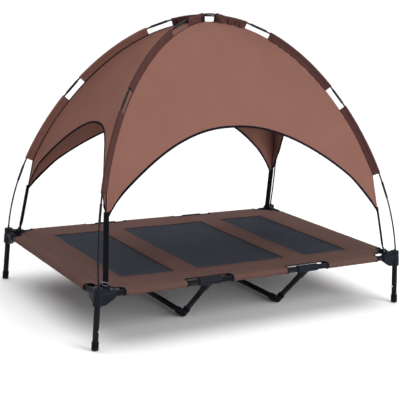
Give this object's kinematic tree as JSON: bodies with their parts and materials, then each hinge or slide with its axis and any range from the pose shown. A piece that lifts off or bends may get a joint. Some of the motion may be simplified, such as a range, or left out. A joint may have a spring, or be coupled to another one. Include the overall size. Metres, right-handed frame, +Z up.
{
  "type": "dog bed with canopy",
  "caption": "Raised dog bed: tube frame on legs and centre supports, fabric bed with mesh windows, and a domed canopy on crossed poles with arched doorways.",
  "frame": {"origin": "on the floor under the middle of the bed", "axes": "+X along the long side, to the right seen from the front; the front faces -Y; +Z up"},
  "size_m": [1.2234, 0.8368, 1.0128],
  "materials": {
    "moulded_plastic": "fine moulded texture, satin",
    "black_tube": "black powder coat, semi-gloss",
    "rubber": "matt",
    "bright_steel": "bright plated",
    "mesh": "open coated mesh, dark slate",
    "webbing": "woven ribbed webbing, black",
    "sleeve_fabric": "woven polyester, dark brown",
    "ferrule_metal": "black, glossy",
    "pole_rod": "black glass-fibre rod",
    "brown_fabric": "woven polyester, warm brown"
  },
  "bodies": {
    "frame": {"back_rail_left": "black_tube", "back_rail_middle": "black_tube", "back_rail_right": "black_tube", "bed_sheet": "brown_fabric", "corner_bracket_back_left": "moulded_plastic", "corner_bracket_back_right": "moulded_plastic", "corner_bracket_front_left": "moulded_plastic", "corner_bracket_front_right": "moulded_plastic", "floor_bar_left": "black_tube", "floor_bar_right": "black_tube", "front_rail_left": "black_tube", "front_rail_middle": "black_tube", "front_rail_right": "black_tube", "left_rail": "black_tube", "mesh_panels": "mesh", "rail_connector_back_left": "moulded_plastic", "rail_connector_back_right": "moulded_plastic", "rail_connector_front_left": "moulded_plastic", "rail_connector_front_right": "moulded_plastic", "right_rail": "black_tube", "strap_buckles": "bright_steel", "support_arm_back_left": "black_tube", "support_arm_back_right": "black_tube", "support_arm_front_left": "black_tube", "support_arm_front_right": "black_tube", "support_elbow_back_left": "moulded_plastic", "support_elbow_back_right": "moulded_plastic", "support_elbow_front_left": "moulded_plastic", "support_elbow_front_right": "moulded_plastic"},
    "leg_front_left": {"leg_tube_front_left": "black_tube", "foot_cap_front_left": "rubber"},
    "button_front_left": {"snap_button_front_left": "bright_steel"},
    "leg_front_right": {"leg_tube_front_right": "black_tube", "foot_cap_front_right": "rubber"},
    "button_front_right": {"snap_button_front_right": "bright_steel"},
    "leg_back_left": {"leg_tube_back_left": "black_tube", "foot_cap_back_left": "rubber"},
    "button_back_left": {"snap_button_back_left": "bright_steel"},
    "leg_back_right": {"leg_tube_back_right": "black_tube", "foot_cap_back_right": "rubber"},
    "button_back_right": {"snap_button_back_right": "bright_steel"},
    "canopy": {"canopy_back": "brown_fabric", "canopy_front": "brown_fabric", "canopy_left": "brown_fabric", "canopy_pole_a": "pole_rod", "canopy_pole_b": "pole_rod", "canopy_right": "brown_fabric", "corner_strap_back_left": "webbing", "corner_strap_back_right": "webbing", "corner_strap_front_left": "webbing", "corner_strap_front_right": "webbing", "crown_patch": "brown_fabric", "pole_ferrules": "ferrule_metal", "pole_sleeve_back_left": "sleeve_fabric", "pole_sleeve_back_right": "sleeve_fabric", "pole_sleeve_front_left": "sleeve_fabric", "pole_sleeve_front_right": "sleeve_fabric", "pole_tips": "ferrule_metal"}
  },
  "joints": [
    {"name": "leg_pull_front_left", "type": "slide", "parent": "frame", "child": "leg_front_left", "axis": [-0.0529, -0.0359, -0.998], "range_m": [0, 0.06]},
    {"name": "button_press_front_left", "type": "slide", "parent": "leg_front_left", "child": "button_front_left", "axis": [-0.5592, 0.829, -0.0002], "range_m": [0, 0.002], "stiffness_N_per_m": 600},
    {"name": "leg_pull_front_right", "type": "slide", "parent": "frame", "child": "leg_front_right", "axis": [0.0529, -0.0359, -0.998], "range_m": [0, 0.06]},
    {"name": "button_press_front_right", "type": "slide", "parent": "leg_front_right", "child": "button_front_right", "axis": [0.9986, 0.0019, 0.0529], "range_m": [0, 0.002], "stiffness_N_per_m": 600},
    {"name": "leg_pull_back_left", "type": "slide", "parent": "frame", "child": "leg_back_left", "axis": [-0.0529, 0.0359, -0.998], "range_m": [0, 0.06]},
    {"name": "button_press_back_left", "type": "slide", "parent": "leg_back_left", "child": "button_back_left", "axis": [0.9986, 0.0019, -0.0529], "range_m": [0, 0.002], "stiffness_N_per_m": 600},
    {"name": "leg_pull_back_right", "type": "slide", "parent": "frame", "child": "leg_back_right", "axis": [0.0529, 0.0359, -0.998], "range_m": [0, 0.06]},
    {"name": "button_press_back_right", "type": "slide", "parent": "leg_back_right", "child": "button_back_right", "axis": [-0.9986, 0.0019, -0.0529], "range_m": [0, 0.002], "stiffness_N_per_m": 600},
    {"name": "canopy_lift", "type": "slide", "parent": "frame", "child": "canopy", "axis": [0, 0, 1], "range_m": [0, 0.05]}
  ]
}
